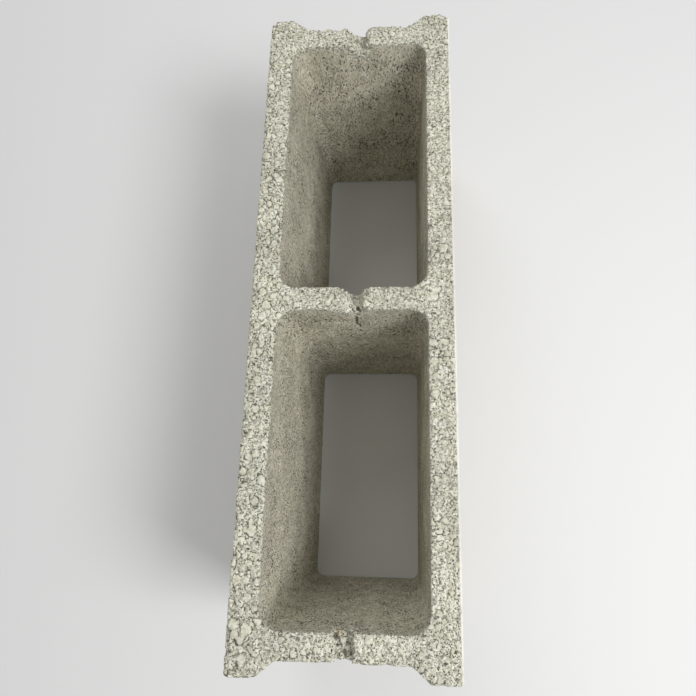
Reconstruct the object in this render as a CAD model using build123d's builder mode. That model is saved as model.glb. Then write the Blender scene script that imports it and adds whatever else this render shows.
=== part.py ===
"""Hollow concrete building block with two tapered cells and recessed ends.

One piece of pressed concrete, 500 x 150 x 200 mm, standing as it left its mould.
X runs across the width, Y along the length and Z up. The origin is the centre
of the face that the block stands on. Sizes are in millimetres.
"""

import math
import os

from build123d import *

os.makedirs("parts", exist_ok=True)

# Outside
LENGTH = 500.0
WIDTH = 150.0
HEIGHT = 200.0

# Walls at the open top, where the mould cores are widest
SHELL_TOP = 20.0
END_WEB_TOP = 18.0
CENTRE_WEB_TOP = 18.0

# Cores of the mould: the corner radius at their top, and their draft, which is
# how far each wall of a cell has come in at the bottom of the block
CELL_CORNER = 13.0
CORE_DRAFT = 6.0

# Recessed ends: an ear on each side, a slope behind it and the flat between
END_RECESS = 10.0
EAR_WIDTH = 20.0
EAR_SLOPE_RUN = 12.0
EAR_CORNER = 3.0
RECESS_CORNER = 4.0

# Groove that the bar carrying the cores leaves across the top of every web
BAR_GROOVE_WIDTH = 15.0
BAR_GROOVE_DEPTH = 8.0
BAR_GROOVE_FLANK_RUN = 4.5
BAR_GROOVE_CORNER = 2.0

# Worn arris round the top and bottom faces and the rims of the cells
ARRIS = 1.5

# One cell in plan at the top, and the distance between the two cells' centres
CELL_WIDTH = WIDTH - 2 * SHELL_TOP
CELL_LENGTH = (LENGTH - CENTRE_WEB_TOP) / 2 - END_RECESS - END_WEB_TOP
CELL_PITCH = CELL_LENGTH + CENTRE_WEB_TOP

# Angles of the core's draft, the recess sides and the groove's flanks
CORE_DRAFT_ANGLE = math.degrees(math.atan2(CORE_DRAFT, HEIGHT))
RECESS_SIDE_ANGLE = math.degrees(math.atan2(END_RECESS, EAR_SLOPE_RUN))
GROOVE_FLANK_ANGLE = math.degrees(math.atan2(BAR_GROOVE_DEPTH, BAR_GROOVE_FLANK_RUN))


with BuildPart() as block:
    # Outer profile, the same over the whole height: a recess in each end
    with BuildSketch(Plane.XY) as profile:
        Rectangle(WIDTH, LENGTH)
        with PolarLocations(LENGTH / 2, 2, start_angle=90):
            Trapezoid(
                WIDTH - 2 * EAR_WIDTH,
                END_RECESS,
                RECESS_SIDE_ANGLE,
                rotation=90,
                align=(Align.CENTER, Align.MIN),
                mode=Mode.SUBTRACT,
            )
        # From one end to the other: ear line, recess flat, recess flat, ear line
        near_ears, near_flat, far_flat, far_ears = profile.vertices().group_by(Axis.Y)
        fillet(near_ears + far_ears, EAR_CORNER)
        fillet(near_flat + far_flat, RECESS_CORNER)
    extrude(amount=HEIGHT)

    # Cells: each core is widest at the top of the block and tapers to the bottom
    with BuildSketch(Plane.XY.offset(HEIGHT)):
        with GridLocations(0, CELL_PITCH, 1, 2):
            RectangleRounded(CELL_WIDTH, CELL_LENGTH, CELL_CORNER)
    extrude(amount=-HEIGHT, taper=CORE_DRAFT_ANGLE, mode=Mode.SUBTRACT)

    # Worn arrises of the two bed faces: their outlines and the cell rims
    fillet(block.faces().filter_by(Axis.Z).edges(), ARRIS)

    # Core-bar groove along the middle, through the top of all three webs
    with BuildSketch(Plane.XZ.shift_origin((0, 0, HEIGHT))) as groove_section:
        Trapezoid(
            BAR_GROOVE_WIDTH,
            BAR_GROOVE_DEPTH,
            GROOVE_FLANK_ANGLE,
            rotation=180,
            align=(Align.CENTER, Align.MIN),
        )
        fillet(groove_section.vertices().group_by(Axis.Z)[0], BAR_GROOVE_CORNER)
    extrude(amount=LENGTH / 2, both=True, mode=Mode.SUBTRACT)

block.part.label = "block"
export_step(block.part, "parts/block.step")
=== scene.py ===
"""Hollow concrete block: the cast surface of its one node, seen from above as in the photograph.

The block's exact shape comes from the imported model. Its surface is rebuilt on a fine grid of
distances: worn and broken places are cut out of it, then the open top is laid with crushed
stone, and the result is meshed again. Sizes in this file are millimetres unless a name says so.
"""

import math

import bmesh
import bpy
import numpy as np
import openvdb
from mathutils import Euler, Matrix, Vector, kdtree


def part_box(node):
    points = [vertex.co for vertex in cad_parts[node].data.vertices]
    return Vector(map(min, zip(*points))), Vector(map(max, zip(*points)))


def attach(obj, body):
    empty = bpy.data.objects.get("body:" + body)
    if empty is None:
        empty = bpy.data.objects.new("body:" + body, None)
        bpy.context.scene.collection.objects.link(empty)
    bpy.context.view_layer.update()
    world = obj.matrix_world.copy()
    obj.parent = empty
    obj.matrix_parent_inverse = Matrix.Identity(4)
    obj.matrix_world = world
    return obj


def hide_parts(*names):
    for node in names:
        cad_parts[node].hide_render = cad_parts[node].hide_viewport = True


MM = 0.001
SEED = 15

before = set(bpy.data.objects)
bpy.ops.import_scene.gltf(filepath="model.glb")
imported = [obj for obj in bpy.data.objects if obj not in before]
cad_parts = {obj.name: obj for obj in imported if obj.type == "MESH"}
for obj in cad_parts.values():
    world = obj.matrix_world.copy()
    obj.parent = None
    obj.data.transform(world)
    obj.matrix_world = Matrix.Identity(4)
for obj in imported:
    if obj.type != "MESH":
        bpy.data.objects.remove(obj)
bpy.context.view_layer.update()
_, high_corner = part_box("block")
HALF_WIDTH, HALF_LENGTH, HEIGHT = np.array(high_corner) / MM

# Grid of distances to the block's surface, and how many triangles its mesh keeps
VOXEL = 0.75
BAND_VOXELS = 8
TRIANGLE_BUDGET = 192000

# Lumps, both the stones and what is bitten out: a ball stretched at random along each axis and
# cut by random flat facets. LUMP_REACH is the farthest that one reaches, LUMP_SHARE its usual
# size, both in radii, and FACET_LEAST how much of the ball's distance counts beside the facets.
LUMP_STRETCH = (0.8, 1.25)
LUMP_REACH = 1.4
LUMP_SHARE = 0.9
FACET_LEAST = 0.6
STONE_SHAPE = {"facets": 9, "roundness": 0.4}
BITE_SHAPE = {"facets": 14, "roundness": 0.3}

# Waves of the moulded walls, as size and height
WALL_WAVES = ((24.0, 0.25), (7.0, 0.16))

# Open surface, which shows the stones: the top face, fading out over RECESS_FADE below it, and
# the core-bar groove, which is as open down to GROOVE_DEPTH and ends between two distances
# from the middle
RECESS_FADE = 8.0
GROOVE_DEPTH = 13.0
GROOVE_REACH = (8.0, 12.0)

# Paste between the stones: how deep it lies on the open surface and on the walls, and its
# waves, as size and share of that depth. A thin fin along the right-hand outer arris stays.
PASTE_RECESS_TOP = 1.15
PASTE_RECESS_WALL = 0.1
PASTE_WAVES = ((5.0, 0.5), (2.2, 0.3))
FIN_WIDTH = 1.4

# Stones in the slab below the top: radius, how many in the left shell, and how many elsewhere
SLAB_DEPTH = 30.0
SLAB_MARGIN = 2.0
COARSE_SHELL = -HALF_WIDTH + 22.0
STONE_SIZES = (
    (3.2, 12, 2),
    (2.6, 75, 30),
    (2.0, 950, 1200),
    (1.5, 900, 3500),
    (1.1, 800, 4200),
)

# How stones are placed: the range of depths of their centres in radii, and its extra width; the
# share of the grid's points that may be one; how many are tried for each stone; the least
# distance between two in sums of their radii; and the cells in which neighbours are looked up
SEAT_DEPTHS = (0.7, 0.9)
SEAT_EXTRA = 0.9
SEAT_SHARE = 0.4
TRIES_PER_STONE = 6
STONE_SPACING = 0.8
LOOKUP_CELL = 7.0

# Larger stones of the photograph: place of the top, and radius. Their centres lie LARGE_SUNK
# radii below the top. The material outlines stones of more than the radius OUTLINED_FROM, and
# takes FAR_FROM_STONES as the distance where there is none.
LARGE_STONES = (
    ((-70.0, -219.0, HEIGHT), 4.0),
    ((-61.5, -222.5, HEIGHT), 4.8),
    ((-68.5, -114.5, HEIGHT), 3.4),
    ((-62.0, -144.0, HEIGHT), 3.1),
    ((-71.5, -124.0, HEIGHT), 2.7),
    ((-65.0, -124.5, HEIGHT), 2.6),
    ((-63.0, -5.0, HEIGHT), 3.5),
    ((-66.0, -60.0, HEIGHT), 3.0),
    ((58.5, -34.0, HEIGHT), 2.9),
    ((66.5, -33.0, HEIGHT), 2.9),
    ((59.5, -47.5, HEIGHT), 3.1),
    ((66.5, 38.0, HEIGHT), 3.1),
    ((58.5, 1.0, HEIGHT), 3.6),
    ((0.2, -228.8, 192.3), 2.4),
    ((2.4, -232.8, 192.3), 1.9),
    ((10.5, -3.8, 198.5), 3.0),
    ((11.2, -7.8, 199.0), 2.3),
    ((2.0, -3.5, 192.0), 1.9),
)
LARGE_SUNK = 0.85
OUTLINED_FROM = 2.5
FAR_FROM_STONES = 9.0

# Break-out at the far face of the centre web, where the groove runs out: middle, both half
# widths, the depth at the far face and the least share of it, where along the block it starts
# and ends, how steep its flanks are, its waves as size and height, and the margin cut with it
BREAK_MIDDLE = 1.5
BREAK_HALF_WIDTHS = (8.0, 1.6)
BREAK_DEPTH = 22.0
BREAK_LEAST = 0.05
BREAK_ENDS = (-12.0, 9.5)
BREAK_FLANK = 0.85
BREAK_WAVES = ((4.0, 1.2), (2.0, 0.5))
BREAK_MARGIN = 4.0

# Places torn out of the rims and the groove, as centre and radius
TORN_PLACES = (
    ((8.5, 9.5, 201.0), 4.0),
    ((9.0, 3.5, 198.5), 2.2),
    ((4.0, -9.5, 194.0), 2.6),
    ((-8.0, -10.0, 200.5), 2.2),
    ((0.0, -241.5, 193.0), 3.6),
    ((-9.5, -241.0, 200.5), 2.8),
    ((9.0, -241.0, 200.5), 2.4),
    ((-7.5, 241.0, 199.0), 3.2),
    ((7.0, 241.0, 199.5), 2.8),
    ((0.5, 240.5, 192.5), 1.5),
    ((49.0, 15.0, 202.0), 5.0),
    ((43.0, 10.5, 201.5), 3.5),
    ((55.0, -29.0, 200.5), 2.6),
    ((-54.5, 26.0, 201.5), 4.0),
    ((-75.5, -201.0, 201.0), 3.5),
    ((-56.0, -250.5, 200.5), 4.0),
    ((74.5, 249.5, 200.0), 4.5),
)

# Pits in and beside the groove, as centre and radius, painted dark as the shade in them. A surface
# that lies PIT_DEPTH under the worn one gets the full painted shade, and one BROKEN_DEPTH under
# the moulded one shows stone.
PAINTED_SHADE_PITS = (
    ((-9.8, -227.5, 197.0), 0.9),
    ((-2.9, -230.3, 191.9), 1.3),
    ((-6.2, -237.2, 192.3), 1.5),
    ((-8.3, -234.0, 195.0), 1.1),
    ((4.2, -235.0, 191.8), 0.9),
    ((-3.9, -226.3, 191.8), 1.5),
    ((-5.0, -223.6, 192.2), 1.1),
    ((3.4, -226.0, 191.8), 1.0),
    ((0.6, -236.4, 191.8), 1.3),
    ((1.8, -217.5, 187.0), 1.2),
    ((-6.5, 232.0, 193.5), 1.2),
    ((0.0, 231.0, 191.8), 1.3),
    ((-0.5, 222.5, 191.8), 1.2),
    ((3.5, 219.0, 191.8), 1.2),
    ((7.5, 222.0, 193.0), 1.2),
    ((5.3, 228.0, 191.8), 1.1),
)
PIT_DEPTH = 2.0
BROKEN_DEPTH = 0.7

# Small chips along the arrises: how many, their radii, and how far outside a centre may lie.
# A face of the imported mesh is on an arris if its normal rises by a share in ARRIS_RISE, or if
# it stands at an outer corner, within EDGE_BAND of both sides.
CHIPS_AT_TOP = 340
CHIPS_BELOW = 90
CHIP_RADII_AT_TOP = (0.9, 2.5)
CHIP_RADII_BELOW = (1.2, 3.4)
CHIP_OUTSIDE = 1.5
ARRIS_RISE = (0.3, 0.95)
EDGE_BAND = 2.0

# Crack from the groove down the near face of the centre web: places on it, and its half width
# there. It is a row of bites of uneven width that sways, keeping part of its sway each time.
CRACK = (
    ((4.0, -6.0, 192.0), 1.3),
    ((2.2, -9.0, 190.5), 1.3),
    ((1.3, -9.2, 176.0), 1.0),
    ((2.9, -9.5, 156.0), 0.9),
)
CRACK_BITES = 40
CRACK_WIDTHS = (0.4, 1.3)
CRACK_SWAY = 0.8
CRACK_SWAY_KEPT = 0.8

# Floor, and the soft studio light, at a level where a colour renders about as it is written.
# A lamp is a name, its place and size in metres, and its power in watts.
FLOOR_REACH = 3000.0
FLOOR_COLOUR = (0.8, 0.8, 0.8, 1)
FLOOR_ROUGHNESS = 0.9
WORLD_COLOUR = (1, 1, 1, 1)
WORLD_STRENGTH = 0.4
LAMPS = (
    ("key", (0.9, -0.5, 1.3), 0.6, 16),
    ("fill", (-0.3, 1.3, 1.4), 1.2, 8),
)

# Camera fitted to the block's edges in the photograph, whose picture isn't centred in its frame
CAMERA_PLACE_METRES = (0.0432, -0.13644, 0.57579)
CAMERA_TURN_DEGREES = (14.714, 4.186, 0.992)
CAMERA_NEAREST_METRES = 0.01
SENSOR_WIDTH = 36.0
LENS = 28.53
FRAME_PIXELS = 696
SHIFT_PIXELS = -22


def node_arrays(node):
    """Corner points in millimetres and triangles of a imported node."""
    mesh = node.data
    mesh.calc_loop_triangles()
    triangles = np.zeros(len(mesh.loop_triangles) * 3, np.int32)
    mesh.loop_triangles.foreach_get("vertices", triangles)
    return read_points(mesh), triangles.reshape(-1, 3).astype(np.uint32)


def read_points(mesh):
    """A mesh's vertices in millimetres."""
    points = np.zeros(len(mesh.vertices) * 3, np.float32)
    mesh.vertices.foreach_get("co", points)
    return points.reshape(-1, 3) / MM


class Field:
    """Signed distances to the block's surface on a regular grid, negative inside."""

    def __init__(self, points, triangles):
        transform = openvdb.createLinearTransform(voxelSize=VOXEL)
        grid = openvdb.FloatGrid.createLevelSetFromPolygons(
            points, triangles=triangles, transform=transform, halfWidth=BAND_VOXELS
        )
        low, high = grid.evalActiveVoxelBoundingBox()
        self.low = np.array(low)
        self.reach = float(grid.background)
        self.values = np.full([h - l + 1 for l, h in zip(low, high)], self.reach, np.float32)
        grid.copyToArray(self.values, ijk=low)

    def copy(self):
        other = object.__new__(Field)
        other.low, other.reach, other.values = self.low, self.reach, self.values.copy()
        return other

    def window(self, low, high):
        """Slices of the grid that hold a box, and the coordinates along each axis."""
        first = np.floor(np.array(low) / VOXEL).astype(int) - self.low
        last = np.ceil(np.array(high) / VOXEL).astype(int) - self.low + 1
        first = np.clip(first, 0, self.values.shape)
        last = np.clip(last, first, self.values.shape)
        slices = tuple(slice(a, b) for a, b in zip(first, last))
        axes = [(np.arange(a, b) + l) * VOXEL for a, b, l in zip(first, last, self.low)]
        return slices, [axis.astype(np.float32) for axis in axes]

    def around(self, centre, radius):
        """The window of a ball."""
        centre = np.array(centre)
        return self.window(centre - radius, centre + radius)

    def at(self, points):
        """Value at the grid point nearest each given point."""
        index = np.rint(points / VOXEL).astype(int) - self.low
        index = np.clip(index, 0, np.array(self.values.shape) - 1)
        return self.values[tuple(index.T)]

    def mesh(self):
        """Points in millimetres and quads of the surface at distance zero."""
        grid = openvdb.FloatGrid(background=self.reach)
        grid.copyFromArray(self.values, ijk=tuple(int(v) for v in self.low))
        grid.gridClass = openvdb.GridClass.LEVEL_SET
        points, quads = grid.convertToQuads(isovalue=0.0)
        return points * VOXEL, quads


def smooth_noise(axes, size, rng):
    """Smooth random values from -1 to 1 over a grid, with features of the given size."""
    counts = [int((axis[-1] - axis[0]) / size) + 3 for axis in axes]
    values = rng.uniform(-1, 1, counts).astype(np.float32)
    for number, axis in enumerate(axes):
        cell = (axis - axis[0]) / size
        base = cell.astype(int)
        part = cell - base
        part = (part * part * (3 - 2 * part)).astype(np.float32)
        part = part.reshape([-1 if n == number else 1 for n in range(3)])
        near = np.take(values, base, axis=number)
        far = np.take(values, base + 1, axis=number)
        values = near + (far - near) * part
    return values


def waves(axes, sizes, rng, level=0.0):
    """Smooth noises of several sizes and heights, summed on top of a level."""
    total = level
    for size, height in sizes:
        total = total + height * smooth_noise(axes, size, rng)
    return total


def lump(axes, centre, radius, rng, facets, roundness):
    """Distances to a lump: a stretched ball cut by random flat facets."""
    stretch = rng.uniform(*LUMP_STRETCH, 3)
    x, y, z = np.ix_(*[(a - c) / s for a, c, s in zip(axes, centre, stretch)])
    ball = np.sqrt(x * x + y * y + z * z)
    normals = rng.normal(size=(facets, 3))
    normals /= np.linalg.norm(normals, axis=1)[:, None]
    cut = FACET_LEAST * ball
    for nx, ny, nz in normals:
        np.maximum(cut, x * nx + y * ny + z * nz, out=cut)
    return roundness * ball + (1 - roundness) * cut - LUMP_SHARE * radius


def wave_walls(field, rng):
    """Gives every surface the faint unevenness of a moulded wall, always inwards."""
    axes = field.window(field.low * VOXEL, (field.low + field.values.shape) * VOXEL)[1]
    for size, height in WALL_WAVES:
        field.values += height * (1 + smooth_noise(axes, size, rng)) / 2


def in_groove(x):
    """How far a place is in the core-bar groove across the webs, from 0 to 1."""
    inner, outer = GROOVE_REACH
    return np.clip((outer - np.abs(x)) / (outer - inner), 0, 1)


def exposure(x, height):
    """How open the surface is: 1 at the top face and in the groove, 0 on the walls."""
    groove = GROOVE_DEPTH * in_groove(x)
    return np.clip(1 - (HEIGHT - height - groove) / RECESS_FADE, 0, 1)


def arris_places(node, rng, at_top, count):
    """Random places along the rounded arrises of the top face, or of the rest."""
    mesh = node.data
    faces = mesh.polygons
    centres = np.array([f.center for f in faces]) / MM
    normals = np.array([f.normal for f in faces])
    areas = np.array([f.area for f in faces])
    x, y, z = np.abs(centres.T)
    rise = np.abs(normals[:, 2])
    tilted = (rise > ARRIS_RISE[0]) & (rise < ARRIS_RISE[1])
    corner = (x > HALF_WIDTH - EDGE_BAND) & (y > HALF_LENGTH - EDGE_BAND)
    high = z > HEIGHT / 2
    clean = centres[:, 0] > HALF_WIDTH - EDGE_BAND
    chosen = tilted & high & ~clean if at_top else (tilted & ~high) | (corner & ~tilted)
    weights = np.where(chosen, areas, 0)
    picks = rng.choice(len(faces), count, p=weights / weights.sum())
    places = []
    for face in picks:
        ring = np.array([mesh.vertices[v].co for v in faces[int(face)].vertices]) / MM
        share = rng.dirichlet(np.ones(len(ring)))
        places.append(share @ ring + normals[face] * rng.uniform(0.0, CHIP_OUTSIDE))
    return places


def bite(field, centre, radius, rng):
    """Takes a rough lump out of the block."""
    slices, axes = field.around(centre, radius * LUMP_REACH)
    hollow = lump(axes, centre, radius, rng, **BITE_SHAPE)
    np.maximum(field.values[slices], -hollow, out=field.values[slices])


def break_out(field, rng):
    """The deep notch in the centre web, its bottom rising away from the far face."""
    start, end = BREAK_ENDS
    wide, narrow = BREAK_HALF_WIDTHS
    slices, axes = field.window(
        (BREAK_MIDDLE - 2 * wide, start, HEIGHT - BREAK_DEPTH - BREAK_MARGIN),
        (BREAK_MIDDLE + 2 * wide, end + BREAK_MARGIN, HEIGHT + BREAK_MARGIN),
    )
    x, y, z = np.ix_(*axes)
    depth = BREAK_DEPTH * np.clip((y - start) / (end - start), BREAK_LEAST, 1)
    down = (HEIGHT - z) / depth
    side = np.abs(x - BREAK_MIDDLE) - (wide + (narrow - wide) * down)
    cut = np.maximum(BREAK_FLANK * side, HEIGHT - depth - z) + waves(axes, BREAK_WAVES, rng)
    np.maximum(field.values[slices], -cut, out=field.values[slices])


def crack(field, rng):
    """A ragged line of small holes that thins out downwards."""
    places = np.array([(*place, width) for place, width in CRACK])
    numbers = np.arange(len(CRACK))
    sway = 0.0
    for step in np.linspace(0, len(CRACK) - 1, CRACK_BITES):
        sway = CRACK_SWAY_KEPT * sway + rng.uniform(-CRACK_SWAY, CRACK_SWAY)
        x, y, z, width = (np.interp(step, numbers, column) for column in places.T)
        bite(field, np.array((x + sway, y, z)), width * rng.uniform(*CRACK_WIDTHS), rng)


def wear(field, node, rng):
    """Torn places of the photograph, and small chips along all arrises."""
    for centre, radius in TORN_PLACES:
        bite(field, centre, radius, rng)
    break_out(field, rng)
    for place in arris_places(node, rng, True, CHIPS_AT_TOP):
        bite(field, place, rng.uniform(*CHIP_RADII_AT_TOP), rng)
    for place in arris_places(node, rng, False, CHIPS_BELOW):
        bite(field, place, rng.uniform(*CHIP_RADII_BELOW), rng)


def lookup_cell(point):
    return tuple((point // LOOKUP_CELL).astype(int))


def scatter(candidates, radius, in_shell, elsewhere, kept, rng):
    """Adds centres of one size that keep off the stones already placed."""
    left = [in_shell, elsewhere]
    for point in rng.permutation(candidates)[: sum(left) * TRIES_PER_STONE]:
        side = 0 if point[0] < COARSE_SHELL else 1
        if left[side] == 0:
            continue
        key = lookup_cell(point)
        near = [
            stone
            for offset in np.ndindex(3, 3, 3)
            for stone in kept.get(tuple(k + o - 1 for k, o in zip(key, offset)), ())
        ]
        if all(((point - p) ** 2).sum() > (STONE_SPACING * (radius + r)) ** 2 for p, r in near):
            kept.setdefault(key, []).append((point, radius))
            left[side] -= 1
            if sum(left) == 0:
                break


def place_stones(skin, axes, opened, rng):
    """Centres and radii of the stones, each just under the surface."""
    kept = {}
    for (x, y, top), radius in LARGE_STONES:
        centre = np.array((x, y, top - LARGE_SUNK * radius))
        kept.setdefault(lookup_cell(centre), []).append((centre, radius))
    shallow, deep = SEAT_DEPTHS
    for radius, in_shell, elsewhere in STONE_SIZES:
        near_skin = (skin < -shallow * radius) & (skin > -deep * radius - SEAT_EXTRA)
        where = np.argwhere(near_skin & (opened > 0) & (rng.random(skin.shape) < SEAT_SHARE))
        centres = np.stack([axis[where[:, n]] for n, axis in enumerate(axes)], axis=1)
        scatter(centres, radius, in_shell, elsewhere, kept, rng)
    return [stone for cell in kept.values() for stone in cell]


def recess_paste(skin, axes, opened, rng):
    """Distances to the paste: recessed from above, and inwards from the faces of the groove."""
    uneven = waves(axes, PASTE_WAVES, rng, 1.0)
    groove = in_groove(axes[0])[:, None, None]
    recess = PASTE_RECESS_WALL + (PASTE_RECESS_TOP * uneven - PASTE_RECESS_WALL) * opened
    below_top = axes[2][None, None, :] - HEIGHT + PASTE_RECESS_TOP * uneven
    flush = skin + PASTE_RECESS_WALL
    paste = np.maximum(flush, below_top) * (1 - groove) + (skin + recess) * groove
    fin = (axes[0] > HALF_WIDTH - FIN_WIDTH)[:, None, None]
    return np.where(fin, flush, paste)


def lay_stones(field, rng):
    """Recesses the paste of the open surface and lays broken stones in it, flush with it.

    Returns the stones, and the distances to those that the material outlines.
    """
    slices, axes = field.window(
        (-HALF_WIDTH - SLAB_MARGIN, -HALF_LENGTH - SLAB_MARGIN, HEIGHT - SLAB_DEPTH),
        (HALF_WIDTH + SLAB_MARGIN, HALF_LENGTH + SLAB_MARGIN, HEIGHT + SLAB_MARGIN),
    )
    skin = field.values[slices].copy()
    opened = exposure(axes[0][:, None, None], axes[2][None, None, :])
    paste = recess_paste(skin, axes, opened, rng)
    stones = place_stones(skin, axes, opened, rng)

    laid = np.full(skin.shape, FAR_FROM_STONES, np.float32)
    outlined = laid.copy()
    origin = np.array([axis[0] for axis in axes])
    for centre, radius in stones:
        reach = radius * LUMP_REACH
        first = np.maximum(((centre - reach - origin) / VOXEL).astype(int), 0)
        last = np.minimum(((centre + reach - origin) / VOXEL).astype(int) + 2, skin.shape)
        patch = tuple(slice(a, b) for a, b in zip(first, last))
        parts = [axis[p] for axis, p in zip(axes, patch)]
        stone = lump(parts, centre, radius, rng, **STONE_SHAPE)
        np.minimum(laid[patch], stone, out=laid[patch])
        if radius > OUTLINED_FROM:
            np.minimum(outlined[patch], stone, out=outlined[patch])
    field.values[slices] = np.maximum(np.minimum(paste, laid), skin)
    outlines = field.copy()
    outlines.values[:] = FAR_FROM_STONES
    outlines.values[slices] = outlined
    return stones, outlines


def build_mesh(name, points, quads):
    """A Blender mesh object from points in millimetres."""
    mesh = bpy.data.meshes.new(name)
    mesh.vertices.add(len(points))
    mesh.vertices.foreach_set("co", (points * MM).astype(np.float32).ravel())
    mesh.loops.add(quads.size)
    mesh.loops.foreach_set("vertex_index", quads.astype(np.int32).ravel())
    mesh.polygons.add(len(quads))
    mesh.polygons.foreach_set("loop_start", np.arange(0, quads.size, 4, dtype=np.int32))
    mesh.update(calc_edges=True)
    thing = bpy.data.objects.new(name, mesh)
    bpy.context.scene.collection.objects.link(thing)
    return thing


def simplify(thing, triangles):
    """Collapses edges where they matter least until that many triangles are left."""
    modifier = thing.modifiers.new("simplify", "DECIMATE")
    modifier.ratio = triangles / (2 * len(thing.data.polygons))
    graph = bpy.context.evaluated_depsgraph_get()
    made = bpy.data.meshes.new_from_object(thing.evaluated_get(graph))
    full = thing.data
    thing.modifiers.remove(modifier)
    thing.data = made
    bpy.data.meshes.remove(full)


def drop_islands(thing):
    """Removes every part of the mesh that doesn't hang together with the largest one."""
    mesh = thing.data
    ends = np.zeros(2 * len(mesh.edges), np.int32)
    mesh.edges.foreach_get("vertices", ends)
    ends = ends.reshape(-1, 2)
    group = np.arange(len(mesh.vertices))
    while True:
        lowest = group[ends].min(axis=1)
        joined = group.copy()
        np.minimum.at(joined, ends[:, 0], lowest)
        np.minimum.at(joined, ends[:, 1], lowest)
        joined = joined[joined]
        if (joined == group).all():
            break
        group = joined
    names, sizes = np.unique(group, return_counts=True)
    work = bmesh.new()
    work.from_mesh(mesh)
    work.verts.ensure_lookup_table()
    loose = np.flatnonzero(group != names[sizes.argmax()])
    bmesh.ops.delete(work, geom=[work.verts[int(number)] for number in loose], context="VERTS")
    work.to_mesh(mesh)
    work.free()


def mark_surface(thing, moulded, worn, stones, outlines, rng):
    """Stores what the material needs at each vertex.

    "open" is how open the surface is, "shade" the shade of the nearest stone, "pit" how deep
    in a pit or crack it lies, which the material paints as shade, and "outline" the distance to
    the outline of a large stone.
    """
    points = read_points(thing.data)
    tree = kdtree.KDTree(len(stones))
    for number, (centre, _) in enumerate(stones):
        tree.insert(centre, number)
    tree.balance()
    shades = rng.random(len(stones))
    exposed = exposure(points[:, 0], points[:, 2])
    opened = np.maximum(exposed, np.clip(-moulded.at(points) - BROKEN_DEPTH, 0, 1))
    shade = np.full(len(points), 0.5)
    for number in np.flatnonzero(opened > 0):
        shade[number] = shades[tree.find(points[number])[1]]
    pit = np.clip((-worn.at(points) - PASTE_RECESS_TOP * exposed) / PIT_DEPTH, 0, 1)
    outline = outlines.at(points - (0, 0, PASTE_RECESS_TOP))
    marks = {"open": opened, "shade": shade, "pit": pit, "outline": outline}
    for name, values in marks.items():
        layer = thing.data.attributes.new(name, "FLOAT", "POINT")
        layer.data.foreach_set("value", values.astype(np.float32))
    thing.data.polygons.foreach_set("use_smooth", np.ones(len(thing.data.polygons), bool))


def make_block():
    """The cast block in place of its plain node."""
    rng = np.random.default_rng(SEED)
    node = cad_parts["block"]
    field = Field(*node_arrays(node))
    moulded = field.copy()
    wear(field, node, rng)
    worn = field.copy()
    crack(field, rng)
    for centre, radius in PAINTED_SHADE_PITS:
        bite(field, centre, radius, rng)
    wave_walls(field, rng)
    stones, outlines = lay_stones(field, rng)
    points, quads = field.mesh()
    thing = build_mesh("cast_block", points, quads[:, ::-1])
    simplify(thing, TRIANGLE_BUDGET)
    drop_islands(thing)
    mark_surface(thing, moulded, worn, stones, outlines, rng)
    return thing


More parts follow.
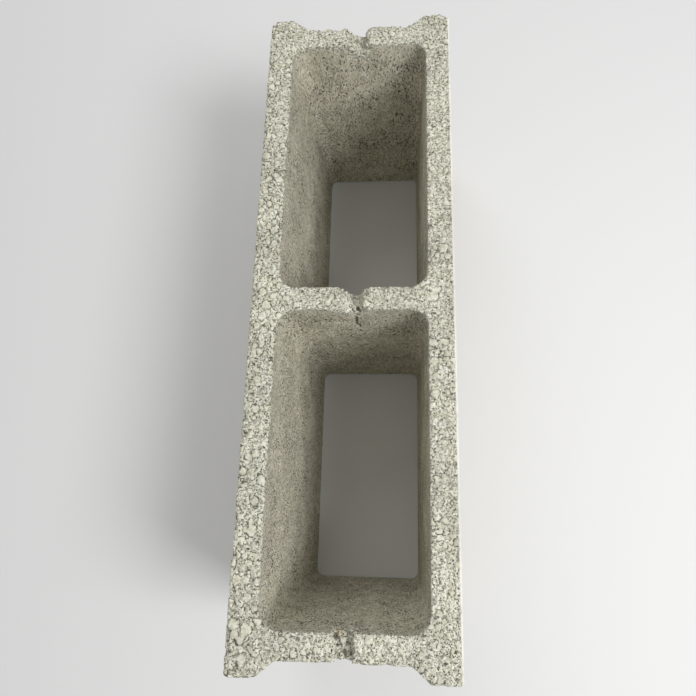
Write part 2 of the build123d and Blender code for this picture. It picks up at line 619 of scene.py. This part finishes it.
class Nodes:
    """Short names for the nodes of one material."""

    def __init__(self, name):
        self.material = bpy.data.materials.new(name)
        self.material.use_nodes = True
        self.tree = self.material.node_tree
        self.shader = self.tree.nodes["Principled BSDF"]

    def link(self, value, socket):
        """Gives a socket what another one puts out, or a plain value."""
        if isinstance(value, bpy.types.NodeSocket):
            self.tree.links.new(value, socket)
        else:
            socket.default_value = value

    def put(self, kind, inputs=(), **settings):
        node = self.tree.nodes.new(kind)
        for key, value in settings.items():
            setattr(node, key, value)
        for key, value in dict(inputs).items():
            self.link(value, node.inputs[key])
        return node

    def value(self, name):
        """A value stored at the vertices."""
        return self.put("ShaderNodeAttribute", attribute_name=name).outputs["Fac"]

    def math(self, operation, *values):
        return self.put("ShaderNodeMath", enumerate(values), operation=operation).outputs[0]

    def vector(self, operation, *values):
        node = self.put("ShaderNodeVectorMath", enumerate(values), operation=operation)
        return node.outputs["Value" if operation == "DISTANCE" else "Vector"]

    def step(self, value, low, high, to_low=0.0, to_high=1.0):
        """Smooth change from one value to another between two limits."""
        inputs = enumerate((value, low, high, to_low, to_high))
        return self.put("ShaderNodeMapRange", inputs, interpolation_type="SMOOTHSTEP").outputs[0]

    def noise(self, place, size, detail=1.0, roughness=0.5, output="Fac"):
        inputs = {"Vector": place, "Scale": 1 / size, "Detail": detail, "Roughness": roughness}
        return self.put("ShaderNodeTexNoise", inputs).outputs[output]

    def cells(self, place, size, feature="F1"):
        inputs = {"Vector": place, "Scale": 1 / size}
        return self.put("ShaderNodeTexVoronoi", inputs, feature=feature)

    def edge(self, place, size):
        """Distance to the nearest edge between cells, in cells."""
        return self.cells(place, size, "DISTANCE_TO_EDGE").outputs["Distance"]

    def pick(self, cells, which=0):
        """One random number for each cell."""
        return self.put("ShaderNodeSeparateColor", {0: cells.outputs["Color"]}).outputs[which]

    def shake(self, place, size, reach):
        """Moves places about at random, so that the patterns there lose their straight lines."""
        centred = self.vector("SUBTRACT", self.noise(place, size, 0.0, output="Color"), (0.5,) * 3)
        return self.vector("ADD", place, self.vector("MULTIPLY", centred, (2 * reach,) * 3))

    def blend(self, factor, a, b):
        inputs = {0: factor, 2: a, 3: b}
        return self.put("ShaderNodeMix", inputs, data_type="FLOAT").outputs[0]

    def mix(self, factor, a, b, kind="MIX"):
        inputs = {0: factor, 6: a, 7: b}
        return self.put("ShaderNodeMix", inputs, data_type="RGBA", blend_type=kind).outputs[2]

    def darken(self, colour, factor):
        grey = self.put("ShaderNodeCombineColor", {0: factor, 1: factor, 2: factor}).outputs[0]
        return self.mix(1.0, colour, grey, "MULTIPLY")

    def ramp(self, value, stops):
        node = self.put("ShaderNodeValToRGB", {0: value})
        elements = node.color_ramp.elements
        while len(elements) < len(stops):
            elements.new(0.5)
        for element, (position, color) in zip(elements, stops):
            element.position = position
            element.color = (*color, 1)
        return node.outputs[0]


# Material of the concrete. In what follows, a noise is a size and, where it needs them, its
# detail and roughness. A shake is a size and a reach. Any other group of two or four numbers is
# a range: where a change starts and ends, then the values before and after it, or else 0 and 1.
CONCRETE_ROUGHNESS = 0.95
CONCRETE_SPECULAR = 0.15
STONE_COLOURS = (
    (0.00, (0.40, 0.36, 0.27)),
    (0.15, (0.54, 0.515, 0.405)),
    (0.50, (0.74, 0.725, 0.59)),
    (0.85, (0.87, 0.855, 0.73)),
    (1.00, (0.90, 0.89, 0.80)),
)
PASTE_COLOURS = (
    (0.25, (0.50, 0.465, 0.365)),
    (0.50, (0.63, 0.60, 0.485)),
    (0.75, (0.73, 0.705, 0.60)),
)
# Painted shade, the dark that gaps, holes, rims, pores, pits and cracks are painted with
PAINTED_SHADE_COLOUR = (0.07, 0.064, 0.048, 1)
FIN_COLOUR = (0.84, 0.82, 0.74, 1)
STAIN_COLOUR = (0.62, 0.47, 0.27, 1)

# Cells of the open surface: grit, finer grains in it, and medium stones, whose outline rounds
# off at MEDIUM_ROUND of a cell from their middle
SMALL_STONE = 1.5
FINE_GRAIN = 0.95
GRIT_SHAKE = (1.3, 0.6)
MEDIUM_STONE = 4.2
MEDIUM_ROUND = 0.7
MEDIUM_SHAKE = (2.8, 1.5)

# Share of the cells that are medium stones: from the left to the right, and by patches
SHARE_FROM_LEFT = (-60.0, -46.0, 0.45, 0.12)
SHARE_TO_RIGHT = (46.0, 58.0, 0.0, 0.2)
PATCH_NOISE = (16.0,)
PATCH_SHARE = (0.3, 0.7, -0.12, 0.2)

# Gaps between the grains, painted dark as the shade in them, which open and close with a noise:
# their width and edge, and how much painted shade they get. Missing grains leave holes, painted as
# shade too: their share and edge. Pairs are for grit and for medium stones.
OPENING_NOISE = (1.7,)
GRIT_GAP_WIDTH = (0.42, 0.70, -0.12, 0.30)
MEDIUM_GAP_WIDTH = (0.34, 0.62, -0.1, 0.42)
GAP_EDGE = (-0.12, 0.2, 1.0, 0.0)
PAIR_GAP_SHADE = (0.6, 0.9)
PAIR_HOLE_SHARE = (0.2, 0.03)
HOLE_EDGE = (0.35, 0.6, 1.0, 0.0)

# Modelled stones: how ragged their outline is, how plain they are inside it, and the broken
# rim of painted shade a little outside it
OUTLINE_RAGGED = 1.2
PLAIN_INSIDE = (-0.5, 0.1, 0.7, 0.0)
RIM_OUTSIDE = 0.25
RIM_EDGE = (0.08, 0.38, 1.0, 0.0)
RIM_NOISE = (2.6,)
RIM_BROKEN = (0.35, 0.6, 0.3, 0.95)

# Tints, as places among the stone colours: spread and least of a medium stone, weight of each
# cell, of the modelled stone under it, and of fine grains as a pair, and range of a large stone
MEDIUM_TINT_SPREAD = 0.6
MEDIUM_TINT_LEAST = 0.15
CELL_TINT = 0.7
SHADE_TINT = 0.15
PAIR_GRAIN_TINT = (0.3, 0.1)
LARGE_TINT = (0.0, 1.0, 0.25, 0.65)

# Iron stain in the groove of the near web
STAIN_PLACE = (-2.5, -222.5, 193.5)
STAIN_SHAKE = (3.0, 3.5)
STAIN_FADE = (1.5, 7.0, 0.5, 0.0)

# Moulded walls: sandy paste with ragged pores painted dark as the shade in them, all stretched
# along the height, and fewer pores where the surface is more closed
WALL_SQUEEZE = (1.0, 1.0, 0.5)
SAND = 1.1
SAND_SHAKE = (1.2, 0.5)
SAND_TINT = (0.0, 1.0, 0.78, 1.15)
CLOSED_NOISE = (28.0, 3.0)
CLOSED = (0.35, 0.65, -0.05, 0.02)
SMALL_PORE_NOISE = (1.1, 1.0)
SMALL_PORE = (0.575, 0.615)
LARGE_PORE_NOISE = (2.8, 3.0)
LARGE_PORE = (0.675, 0.72)
PORE_SHADE = 0.87
MOTTLE_NOISE = (6.0, 4.0, 0.62)

# Where the open surface meets the walls, the fin that stays clean, the painted shade of pits and
# cracks, and the broad change of tint over the whole block
EDGE_NOISE = (5.0,)
EDGE_RAGGED = 0.9
OPEN_EDGE = (0.3, 0.6)
FIN_ACROSS = (73.1, 73.5)
FIN_UP = (197.0, 198.6)
PIT_RAGGED = 0.5
PIT_SHADE = (0.5, 0.9, 0.0, 0.72)
BROAD_NOISE = (45.0,)
BROAD_TINT = (0.3, 0.7, 0.9, 1.05)

# Relief of the bump
GRIT_DOME = (0.0, 0.6)
MEDIUM_DOME = (0.0, 1.8, 0.0, 2.0)
HOLLOW_RELIEF = 0.6
MOTTLE_RELIEF = 1.2
BUMP_STRENGTH = 0.7
BUMP_HEIGHT = 0.5


def open_surface(n, here, x, opening):
    """Colour and relief of grit, medium and modelled stones, with painted shade between them."""
    place = n.shake(here, *GRIT_SHAKE)
    small, grains = n.cells(place, SMALL_STONE), n.cells(place, FINE_GRAIN)
    small_gap = n.math("MULTIPLY", n.edge(place, SMALL_STONE), SMALL_STONE)
    bent = n.shake(here, *MEDIUM_SHAKE)
    medium = n.cells(bent, MEDIUM_STONE)
    rounded = n.math("SUBTRACT", MEDIUM_ROUND, medium.outputs["Distance"])
    medium_gap = n.math("MINIMUM", n.edge(bent, MEDIUM_STONE), rounded)
    medium_gap = n.math("MULTIPLY", medium_gap, MEDIUM_STONE)

    share = n.math("ADD", n.step(x, *SHARE_FROM_LEFT), n.step(x, *SHARE_TO_RIGHT))
    share = n.math("ADD", share, n.step(n.noise(here, *PATCH_NOISE), *PATCH_SHARE))
    is_medium = n.math("LESS_THAN", n.pick(medium), share)
    is_medium = n.math("MULTIPLY", is_medium, n.math("GREATER_THAN", medium_gap, 0.0))

    gap = n.blend(is_medium, small_gap, medium_gap)
    grit_width, medium_width = n.step(opening, *GRIT_GAP_WIDTH), n.step(opening, *MEDIUM_GAP_WIDTH)
    width = n.blend(is_medium, grit_width, medium_width)
    # Painted shade in the gaps, and in the holes where grains are missing
    gap_shade = n.step(n.math("SUBTRACT", gap, width), *GAP_EDGE)
    gap_shade = n.math("MULTIPLY", gap_shade, n.blend(is_medium, *PAIR_GAP_SHADE))
    hole = n.math("LESS_THAN", n.pick(grains), n.blend(is_medium, *PAIR_HOLE_SHARE))
    hole = n.math("MULTIPLY", hole, n.step(grains.outputs["Distance"], *HOLE_EDGE))

    ragged = n.math("SUBTRACT", opening, 0.5)
    outline = n.math("MULTIPLY_ADD", ragged, OUTLINE_RAGGED, n.value("outline"))
    plain = n.step(outline, *PLAIN_INSIDE)
    # Painted shade in a broken rim round each modelled stone
    rim_shade = n.step(n.math("ABSOLUTE", n.math("SUBTRACT", outline, RIM_OUTSIDE)), *RIM_EDGE)
    rim_shade = n.math("MULTIPLY", rim_shade, n.step(n.noise(here, *RIM_NOISE), *RIM_BROKEN))
    hollow = n.math("MAXIMUM", gap_shade, hole)
    hollow = n.math("MULTIPLY", hollow, n.math("SUBTRACT", 1.0, plain))
    hollow = n.math("MAXIMUM", hollow, rim_shade)

    shade = n.value("shade")
    tint = n.math("MULTIPLY_ADD", n.pick(medium, 1), MEDIUM_TINT_SPREAD, MEDIUM_TINT_LEAST)
    tint = n.blend(is_medium, n.pick(small), tint)
    tint = n.math("MULTIPLY_ADD", tint, CELL_TINT, n.math("MULTIPLY", shade, SHADE_TINT))
    tint = n.math("MULTIPLY_ADD", n.pick(grains, 1), n.blend(is_medium, *PAIR_GRAIN_TINT), tint)
    tint = n.blend(plain, tint, n.step(shade, *LARGE_TINT))
    # Painted shade: the hollows take the dark shade colour
    colour = n.mix(hollow, n.ramp(tint, STONE_COLOURS), PAINTED_SHADE_COLOUR)

    dome = n.blend(is_medium, n.step(gap, *GRIT_DOME), n.step(gap, *MEDIUM_DOME))
    dome = n.blend(plain, dome, 1.0)
    return colour, n.math("SUBTRACT", dome, n.math("MULTIPLY", hollow, HOLLOW_RELIEF))


def iron_stain(n, here, colour):
    away = n.vector("DISTANCE", n.shake(here, *STAIN_SHAKE), STAIN_PLACE)
    stained = n.mix(1.0, colour, STAIN_COLOUR, "MULTIPLY")
    return n.mix(n.step(away, *STAIN_FADE), colour, stained)


def moulded_wall(n, here):
    """Colour and relief of the sandy paste, and its pores with painted shade."""
    drawn = n.vector("MULTIPLY", here, WALL_SQUEEZE)
    sand = n.cells(n.shake(drawn, *SAND_SHAKE), SAND)
    closed = n.step(n.noise(here, *CLOSED_NOISE), *CLOSED)
    small_pore = n.math("ADD", n.noise(drawn, *SMALL_PORE_NOISE), closed)
    large_pore = n.math("ADD", n.noise(drawn, *LARGE_PORE_NOISE), closed)
    pore = n.math("MAXIMUM", n.step(small_pore, *SMALL_PORE), n.step(large_pore, *LARGE_PORE))
    mottle = n.noise(drawn, *MOTTLE_NOISE)
    colour = n.darken(n.ramp(mottle, PASTE_COLOURS), n.step(n.pick(sand), *SAND_TINT))
    # Painted shade in the pores
    colour = n.mix(n.math("MULTIPLY", pore, PORE_SHADE), colour, PAINTED_SHADE_COLOUR)
    return colour, n.math("SUBTRACT", n.math("MULTIPLY", mottle, MOTTLE_RELIEF), pore)


def concrete():
    n = Nodes("concrete")
    n.shader.inputs["Roughness"].default_value = CONCRETE_ROUGHNESS
    n.shader.inputs["Specular IOR Level"].default_value = CONCRETE_SPECULAR
    metres = n.put("ShaderNodeTexCoord").outputs["Object"]
    here = n.vector("MULTIPLY", metres, (1 / MM,) * 3)
    x, _, z = n.put("ShaderNodeSeparateXYZ", {0: here}).outputs
    opening = n.noise(here, *OPENING_NOISE)
    top_colour, top_height = open_surface(n, here, x, opening)
    top_colour = iron_stain(n, here, top_colour)
    wall_colour, wall_height = moulded_wall(n, here)

    ragged = n.math("MULTIPLY", n.noise(here, *EDGE_NOISE), EDGE_RAGGED)
    ragged = n.math("SUBTRACT", ragged, EDGE_RAGGED / 2)
    open_top = n.step(n.math("ADD", n.value("open"), ragged), *OPEN_EDGE)
    fin = n.math("MULTIPLY", n.step(x, *FIN_ACROSS), n.step(z, *FIN_UP))
    fin = n.math("MULTIPLY", fin, open_top)
    open_top = n.math("SUBTRACT", open_top, fin)
    colour = n.mix(open_top, wall_colour, top_colour)
    # Painted shade: pits and cracks darken with their depth under the worn surface
    deep = n.math("MULTIPLY_ADD", opening, PIT_RAGGED, n.value("pit"))
    colour = n.mix(n.step(deep, *PIT_SHADE), colour, PAINTED_SHADE_COLOUR)
    colour = n.mix(fin, colour, FIN_COLOUR)
    broad = n.step(n.noise(here, *BROAD_NOISE), *BROAD_TINT)
    n.link(n.darken(colour, broad), n.shader.inputs["Base Color"])

    height = n.blend(open_top, wall_height, top_height)
    relief = {"Strength": BUMP_STRENGTH, "Distance": BUMP_HEIGHT * MM, "Height": height}
    n.link(n.put("ShaderNodeBump", relief).outputs[0], n.shader.inputs["Normal"])
    return n.material


def pale_floor():
    n = Nodes("pale_floor")
    n.shader.inputs["Base Color"].default_value = FLOOR_COLOUR
    n.shader.inputs["Roughness"].default_value = FLOOR_ROUGHNESS
    return n.material


def stage():
    """The floor that the block stands on."""
    turns = ((-1, -1, 0), (1, -1, 0), (1, 1, 0), (-1, 1, 0))
    floor = build_mesh("floor", FLOOR_REACH * np.array(turns), np.array([(0, 1, 2, 3)]))
    floor.data.materials.append(pale_floor())


def lamp(name, place, size, power):
    """A square lamp that shines on the middle of the block."""
    data = bpy.data.lights.new(name, "AREA")
    data.shape = "SQUARE"
    data.size = size
    data.energy = power
    thing = bpy.data.objects.new(name, data)
    thing.location = place
    aim = Vector((0, 0, HEIGHT * MM / 2)) - thing.location
    thing.rotation_euler = aim.to_track_quat("-Z", "Y").to_euler()
    bpy.context.scene.collection.objects.link(thing)


def light():
    world = bpy.data.worlds.new("world")
    world.use_nodes = True
    background = world.node_tree.nodes["Background"]
    background.inputs["Color"].default_value = WORLD_COLOUR
    background.inputs["Strength"].default_value = WORLD_STRENGTH
    bpy.context.scene.world = world
    for settings in LAMPS:
        lamp(*settings)


def camera():
    data = bpy.data.cameras.new("camera")
    data.sensor_width = SENSOR_WIDTH
    data.lens = LENS
    data.shift_x = SHIFT_PIXELS / FRAME_PIXELS
    data.clip_start = CAMERA_NEAREST_METRES
    thing = bpy.data.objects.new("camera", data)
    thing.location = CAMERA_PLACE_METRES
    thing.rotation_euler = Euler([math.radians(angle) for angle in CAMERA_TURN_DEGREES])
    bpy.context.scene.collection.objects.link(thing)
    bpy.context.scene.camera = thing


camera()
light()
stage()
block = make_block()
block.data.materials.append(concrete())
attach(block, "root")
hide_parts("block")

bpy.context.scene.view_settings.view_transform = "Standard"
